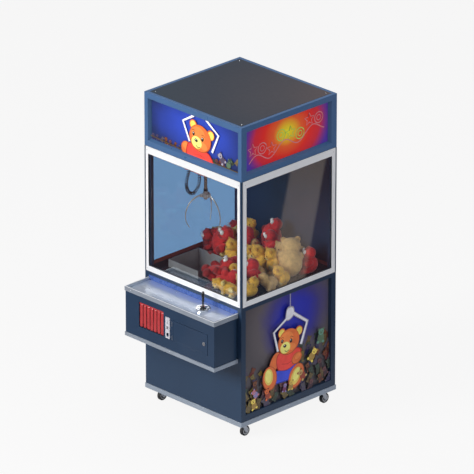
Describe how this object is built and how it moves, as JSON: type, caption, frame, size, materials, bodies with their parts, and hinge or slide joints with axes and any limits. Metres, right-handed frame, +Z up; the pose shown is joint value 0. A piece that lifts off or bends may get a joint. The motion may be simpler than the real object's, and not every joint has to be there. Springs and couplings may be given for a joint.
{
  "type": "claw crane machine",
  "caption": "Free-standing arcade claw crane with glazed play area, gantry-driven three-finger claw, joystick, prize chute, lit sign and castors.",
  "frame": {"origin": "on the floor, at the middle of the machine outline seen from above", "axes": "+Z up, -Y towards the player (control box side), +X to the player right"},
  "size_m": [0.797, 0.9582, 1.937],
  "materials": {
    "navy_paint": "satin",
    "aluminium_trim": "anodised satin",
    "brushed_deck": "brushed",
    "chrome": "polished",
    "zinc_steel": "zinc plated",
    "black_plastic": "matt",
    "castor_tyre": "matt",
    "playfield_black": "gloss",
    "chute_grey": "matt",
    "clear_glass": "polished",
    "blue_glass": "tinted, polished",
    "printed_panel": "printed",
    "lamp_white": "diffuse",
    "trolley_red": "satin",
    "red_vinyl": "soft sheet",
    "red_plush": "short pile",
    "tan_plush": "short pile"
  },
  "bodies": {
    "cabinet": {"base_plate": "navy_paint", "base_trim": "aluminium_trim", "box_bottom_trim": "aluminium_trim", "coin_box": "zinc_steel", "coin_plate": "zinc_steel", "control_box": "navy_paint", "control_deck": "brushed_deck", "deck_trim": "aluminium_trim", "front_window_frame": "aluminium_trim", "front_window_glass": "clear_glass", "gantry_rail_left": "aluminium_trim", "gantry_rail_right": "aluminium_trim", "joystick_base": "chrome", "left_side_graphic": "printed_panel", "left_window_frame": "aluminium_trim", "left_window_glass": "blue_glass", "lower_cabinet": "navy_paint", "marquee_front_panel": "printed_panel", "marquee_housing": "navy_paint", "marquee_left_panel": "printed_panel", "marquee_light": "lamp_white", "marquee_right_panel": "printed_panel", "marquee_top_cover": "navy_paint", "playfield_floor": "playfield_black", "plush_heap_back": "tan_plush", "plush_heap_front": "tan_plush", "plush_heap_left": "red_plush", "prize_chute": "chute_grey", "right_side_graphic": "printed_panel", "right_window_frame": "aluminium_trim", "right_window_glass": "clear_glass", "upper_frame": "navy_paint"},
    "rear_service_door": {"rear_service_door": "navy_paint"},
    "back_door": {"back_door": "navy_paint"},
    "coin_door": {"coin_door": "navy_paint"},
    "coin_door_lock": {"coin_door_lock": "zinc_steel"},
    "coin_return_button": {"coin_return_button": "red_vinyl"},
    "prize_curtain": {"prize_curtain": "red_vinyl"},
    "joystick_gimbal": {"joystick_gimbal": "chrome"},
    "joystick_stick": {"joystick_stick": "black_plastic"},
    "drop_button": {"drop_button": "red_vinyl"},
    "gantry_bridge": {"gantry_bridge": "zinc_steel"},
    "trolley": {"trolley_carriage": "trolley_red", "winch_motor": "zinc_steel", "telescope_outer": "chrome", "trolley_cord": "black_plastic"},
    "winch_drum": {"winch_drum": "zinc_steel"},
    "claw_lift": {"telescope_inner": "chrome", "claw_hub": "chrome"},
    "claw_finger_1": {"claw_finger_1": "chrome"},
    "claw_finger_2": {"claw_finger_2": "chrome"},
    "claw_finger_3": {"claw_finger_3": "chrome"},
    "castor_fork_front_left": {"castor_fork_front_left": "zinc_steel"},
    "castor_wheel_front_left": {"castor_wheel_front_left": "castor_tyre"},
    "castor_fork_front_right": {"castor_fork_front_right": "zinc_steel"},
    "castor_wheel_front_right": {"castor_wheel_front_right": "castor_tyre"},
    "castor_fork_rear_left": {"castor_fork_rear_left": "zinc_steel"},
    "castor_wheel_rear_left": {"castor_wheel_rear_left": "castor_tyre"},
    "castor_fork_rear_right": {"castor_fork_rear_right": "zinc_steel"},
    "castor_wheel_rear_right": {"castor_wheel_rear_right": "castor_tyre"}
  },
  "joints": [
    {"name": "rear_service_door_hinge", "type": "hinge", "parent": "cabinet", "child": "rear_service_door", "pos_m": [0.284, 0.47615, 0.475], "axis": [0, 0, -1], "range_deg": [0, 110]},
    {"name": "back_door_hinge", "type": "hinge", "parent": "cabinet", "child": "back_door", "pos_m": [0.3833, 0.47615, 1.22], "axis": [0, 0, -1], "range_deg": [0, 110]},
    {"name": "coin_door_hinge", "type": "hinge", "parent": "cabinet", "child": "coin_door", "pos_m": [0.0215, -0.47405, 0.635], "axis": [0, 0, -1], "range_deg": [0, 100]},
    {"name": "coin_lock_turn", "type": "hinge", "parent": "coin_door", "child": "coin_door_lock", "pos_m": [0.283, -0.47385, 0.637], "axis": [0, -1, 0], "range_deg": [0, 90]},
    {"name": "coin_return_press", "type": "slide", "parent": "cabinet", "child": "coin_return_button", "axis": [0, 1, 0], "range_m": [0, 0.004], "stiffness_N_per_m": 60, "springref_m": -0.002},
    {"name": "prize_curtain_swing", "type": "hinge", "parent": "cabinet", "child": "prize_curtain", "pos_m": [-0.1525, -0.46485, 0.7235], "axis": [-1, 0, 0], "range_deg": [0, 55]},
    {"name": "joystick_front_back", "type": "hinge", "parent": "cabinet", "child": "joystick_gimbal", "pos_m": [0.166, -0.36735, 0.77], "axis": [1, 0, 0], "range_deg": [-12, 12], "stiffness_Nm_per_rad": 0.3},
    {"name": "joystick_left_right", "type": "hinge", "parent": "joystick_gimbal", "child": "joystick_stick", "pos_m": [0.166, -0.36735, 0.77], "axis": [0, 1, 0], "range_deg": [-12, 12], "stiffness_Nm_per_rad": 0.3},
    {"name": "drop_button_press", "type": "slide", "parent": "joystick_stick", "child": "drop_button", "axis": [0, 0, -1], "range_m": [0, 0.003], "stiffness_N_per_m": 120, "springref_m": -0.002},
    {"name": "bridge_travel", "type": "slide", "parent": "cabinet", "child": "gantry_bridge", "axis": [0, -1, 0], "range_m": [-0.335, 0.016]},
    {"name": "trolley_travel", "type": "slide", "parent": "gantry_bridge", "child": "trolley", "axis": [-1, 0, 0], "range_m": [-0.375, 0.045], "deforming": ["trolley_cord"]},
    {"name": "claw_lower", "type": "slide", "parent": "trolley", "child": "claw_lift", "axis": [0, 0, -1], "range_m": [0, 0.2]},
    {"name": "winch_turn", "type": "hinge", "parent": "trolley", "child": "winch_drum", "pos_m": [-0.15, -0.02535, 1.5835], "axis": [1, 0, 0], "range_deg": [0, 960]},
    {"name": "finger_1_close", "type": "hinge", "parent": "claw_lift", "child": "claw_finger_1", "pos_m": [-0.124, -0.03835, 1.297], "axis": [0, 1, 0], "range_deg": [0, 20]},
    {"name": "finger_2_close", "type": "hinge", "parent": "claw_lift", "child": "claw_finger_2", "pos_m": [-0.163, -0.01583, 1.297], "axis": [-0.866, -0.5, 0], "range_deg": [0, 20]},
    {"name": "finger_3_close", "type": "hinge", "parent": "claw_lift", "child": "claw_finger_3", "pos_m": [-0.163, -0.06087, 1.297], "axis": [0.866, -0.5, 0], "range_deg": [0, 20]},
    {"name": "castor_swivel_front_left", "type": "hinge", "parent": "cabinet", "child": "castor_fork_front_left", "pos_m": [-0.342, -0.22735, 0.0885], "axis": [0, 0, 1], "continuous": true},
    {"name": "castor_roll_front_left", "type": "hinge", "parent": "castor_fork_front_left", "child": "castor_wheel_front_left", "pos_m": [-0.342, -0.20735, 0.03062], "axis": [1, 0, 0], "continuous": true},
    {"name": "castor_swivel_front_right", "type": "hinge", "parent": "cabinet", "child": "castor_fork_front_right", "pos_m": [0.342, -0.22735, 0.0885], "axis": [0, 0, 1], "continuous": true},
    {"name": "castor_roll_front_right", "type": "hinge", "parent": "castor_fork_front_right", "child": "castor_wheel_front_right", "pos_m": [0.342, -0.20735, 0.03062], "axis": [1, 0, 0], "continuous": true},
    {"name": "castor_swivel_rear_left", "type": "hinge", "parent": "cabinet", "child": "castor_fork_rear_left", "pos_m": [-0.342, 0.41665, 0.0885], "axis": [0, 0, 1], "continuous": true},
    {"name": "castor_roll_rear_left", "type": "hinge", "parent": "castor_fork_rear_left", "child": "castor_wheel_rear_left", "pos_m": [-0.342, 0.43665, 0.03062], "axis": [1, 0, 0], "continuous": true},
    {"name": "castor_swivel_rear_right", "type": "hinge", "parent": "cabinet", "child": "castor_fork_rear_right", "pos_m": [0.342, 0.41665, 0.0885], "axis": [0, 0, 1], "continuous": true},
    {"name": "castor_roll_rear_right", "type": "hinge", "parent": "castor_fork_rear_right", "child": "castor_wheel_rear_right", "pos_m": [0.342, 0.43665, 0.03062], "axis": [1, 0, 0], "continuous": true}
  ],
  "couplings": [
    {"joint": "winch_turn", "follows": "claw_lower", "rad_per_m": 83.333},
    {"joint": "finger_2_close", "follows": "finger_1_close", "ratio": 1},
    {"joint": "finger_3_close", "follows": "finger_1_close", "ratio": 1}
  ]
}
